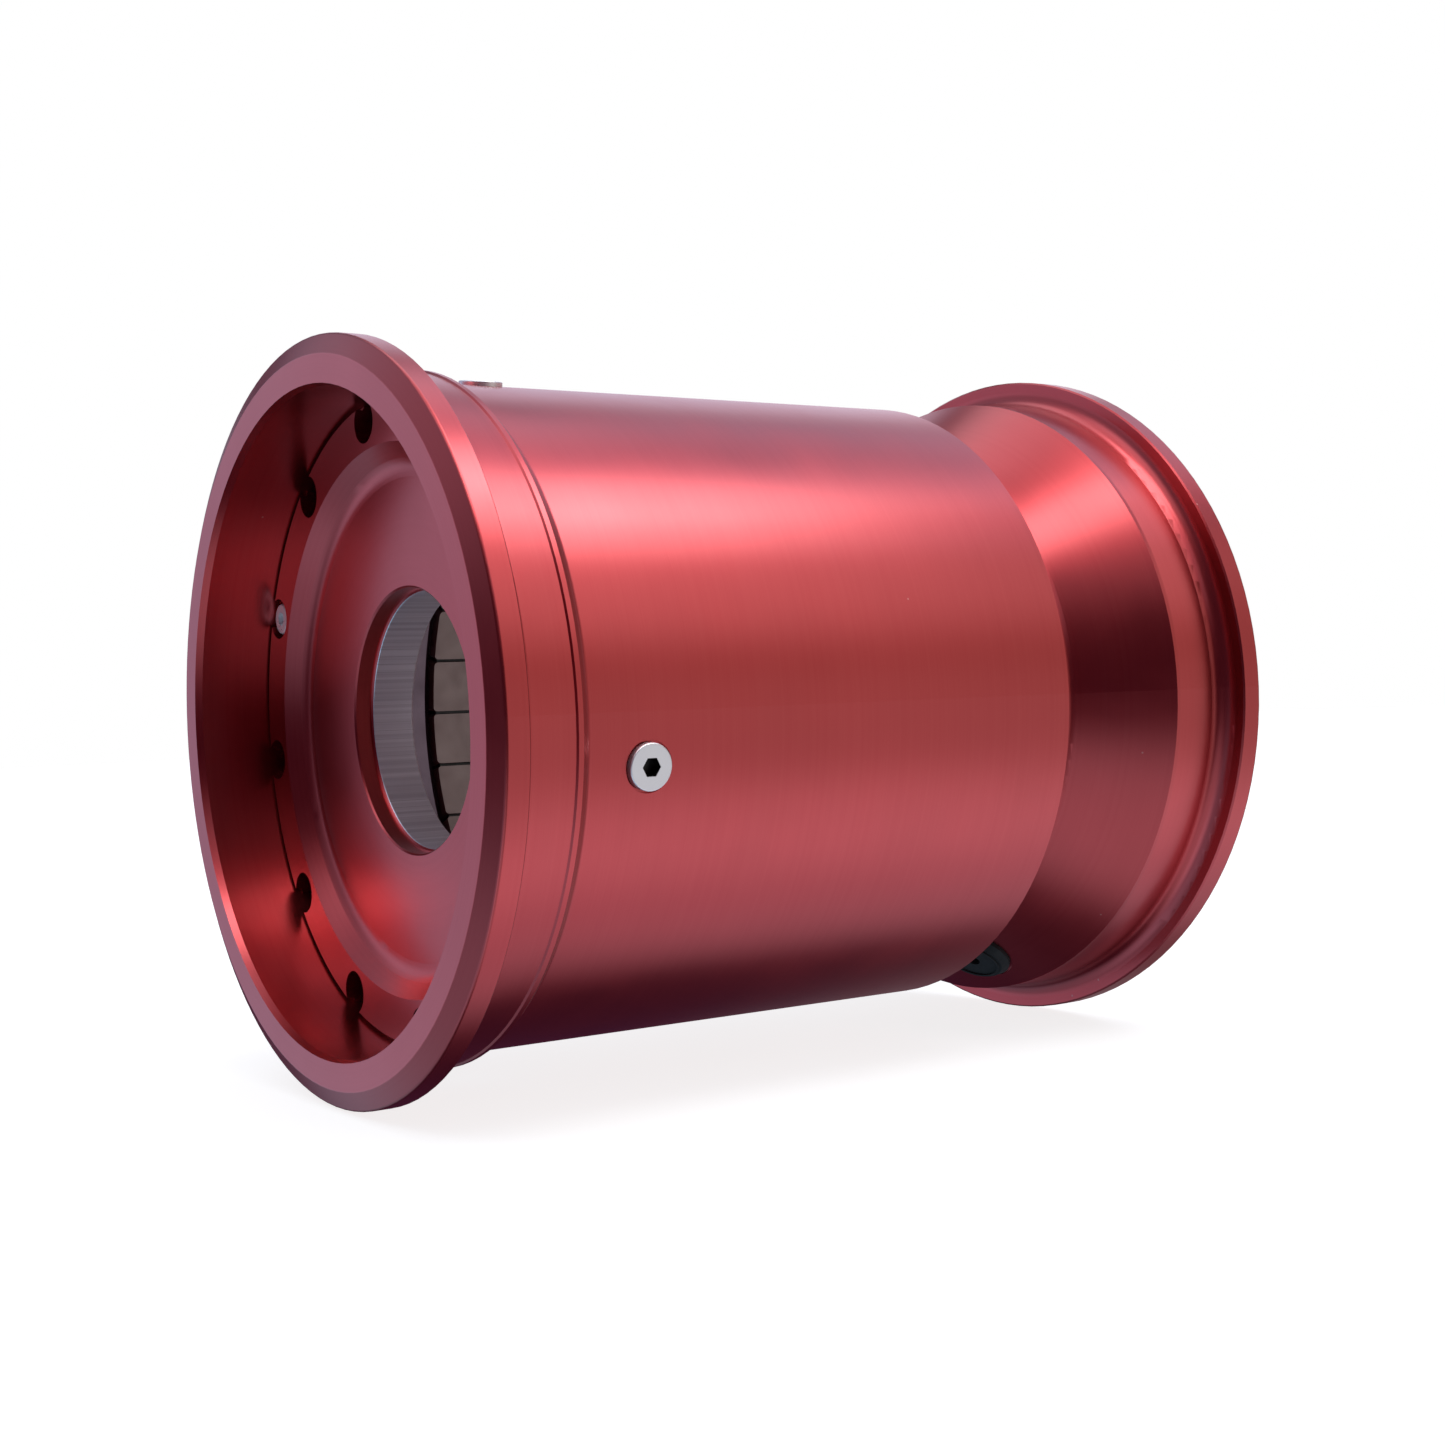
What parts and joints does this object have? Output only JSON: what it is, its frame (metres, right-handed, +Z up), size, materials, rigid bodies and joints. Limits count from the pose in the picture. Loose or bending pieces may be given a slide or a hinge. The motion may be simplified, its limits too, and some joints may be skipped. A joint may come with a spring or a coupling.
{
  "type": "hub motor rotor",
  "caption": "Wide turned wheel rim and motor barrel in one shell, with bolted end covers, bearing seats, a ring of rotor magnets and a snap-in tyre valve.",
  "frame": {"origin": "on the spin axis, half way across the wheel's width", "axes": "+Y along the spin axis from the bolted front cover towards the rear, +Z up"},
  "size_m": [0.136, 0.1676, 0.136],
  "materials": {
    "red_anodised": "satin red anodise with fine turning marks",
    "red_anodised_front": "satin red anodise, bearing seat machined bare",
    "red_anodised_rear": "satin red anodise, bearing seat machined bare",
    "back_iron": "turned steel, lightly oiled",
    "nickel_magnet": "dull nickel plating",
    "potting": "matt black resin",
    "black_oxide": "black oxide steel",
    "stainless": "bead-blasted stainless steel",
    "black_rubber": "moulded rubber",
    "bearing_steel": "ground and polished bearing steel",
    "cage_nylon": "moulded nylon",
    "spring_steel": "phosphated spring steel",
    "valve_rubber": "moulded rubber with ring ribs",
    "valve_brass": "turned brass",
    "cap_plastic": "moulded black plastic"
  },
  "bodies": {
    "hub": {"hub_shell": "red_anodised", "front_cover": "red_anodised_front", "rear_cover": "red_anodised_rear", "flux_ring": "back_iron", "rotor_magnets": "nickel_magnet", "magnet_bond_strips": "potting", "magnet_end_ring": "potting", "cover_screws": "black_oxide", "cover_screw_bright": "stainless", "lock_screws": "stainless", "rear_cover_screws": "stainless", "lock_screw_seals": "black_rubber", "front_cover_o_ring": "black_rubber", "rear_cover_o_ring": "black_rubber", "bearing_outer_race": "bearing_steel", "bearing_seals": "black_rubber", "rear_circlip": "spring_steel", "valve_body": "valve_rubber", "valve_stem": "valve_brass", "valve_core_body": "valve_brass", "valve_core_gasket": "black_rubber", "valve_core_spring": "spring_steel"},
    "bearing_inner": {"bearing_inner_race": "bearing_steel"},
    "bearing_ball_set": {"bearing_balls": "bearing_steel", "bearing_cage": "cage_nylon"},
    "valve_pin": {"valve_core_pin": "valve_brass", "valve_core_seal": "black_rubber"},
    "valve_cap_set": {"valve_cap": "cap_plastic", "valve_cap_seal": "black_rubber"}
  },
  "joints": [
    {"name": "bearing_spin", "type": "hinge", "parent": "hub", "child": "bearing_inner", "pos_m": [0, 0.0427, 0], "axis": [0, 1, 0], "continuous": true},
    {"name": "bearing_cage_spin", "type": "hinge", "parent": "hub", "child": "bearing_ball_set", "pos_m": [0, 0.0427, 0], "axis": [0, 1, 0], "continuous": true},
    {"name": "valve_pin_press", "type": "slide", "parent": "hub", "child": "valve_pin", "axis": [0.1991, -0.6063, -0.7699], "range_m": [0, 0.0012], "stiffness_N_per_m": 1200, "springref_m": -0.0012},
    {"name": "valve_cap_off", "type": "slide", "parent": "hub", "child": "valve_cap_set", "axis": [-0.1991, 0.6063, 0.7699], "range_m": [0, 0.012]}
  ],
  "couplings": [
    {"joint": "bearing_cage_spin", "follows": "bearing_spin", "ratio": 0.43818}
  ]
}
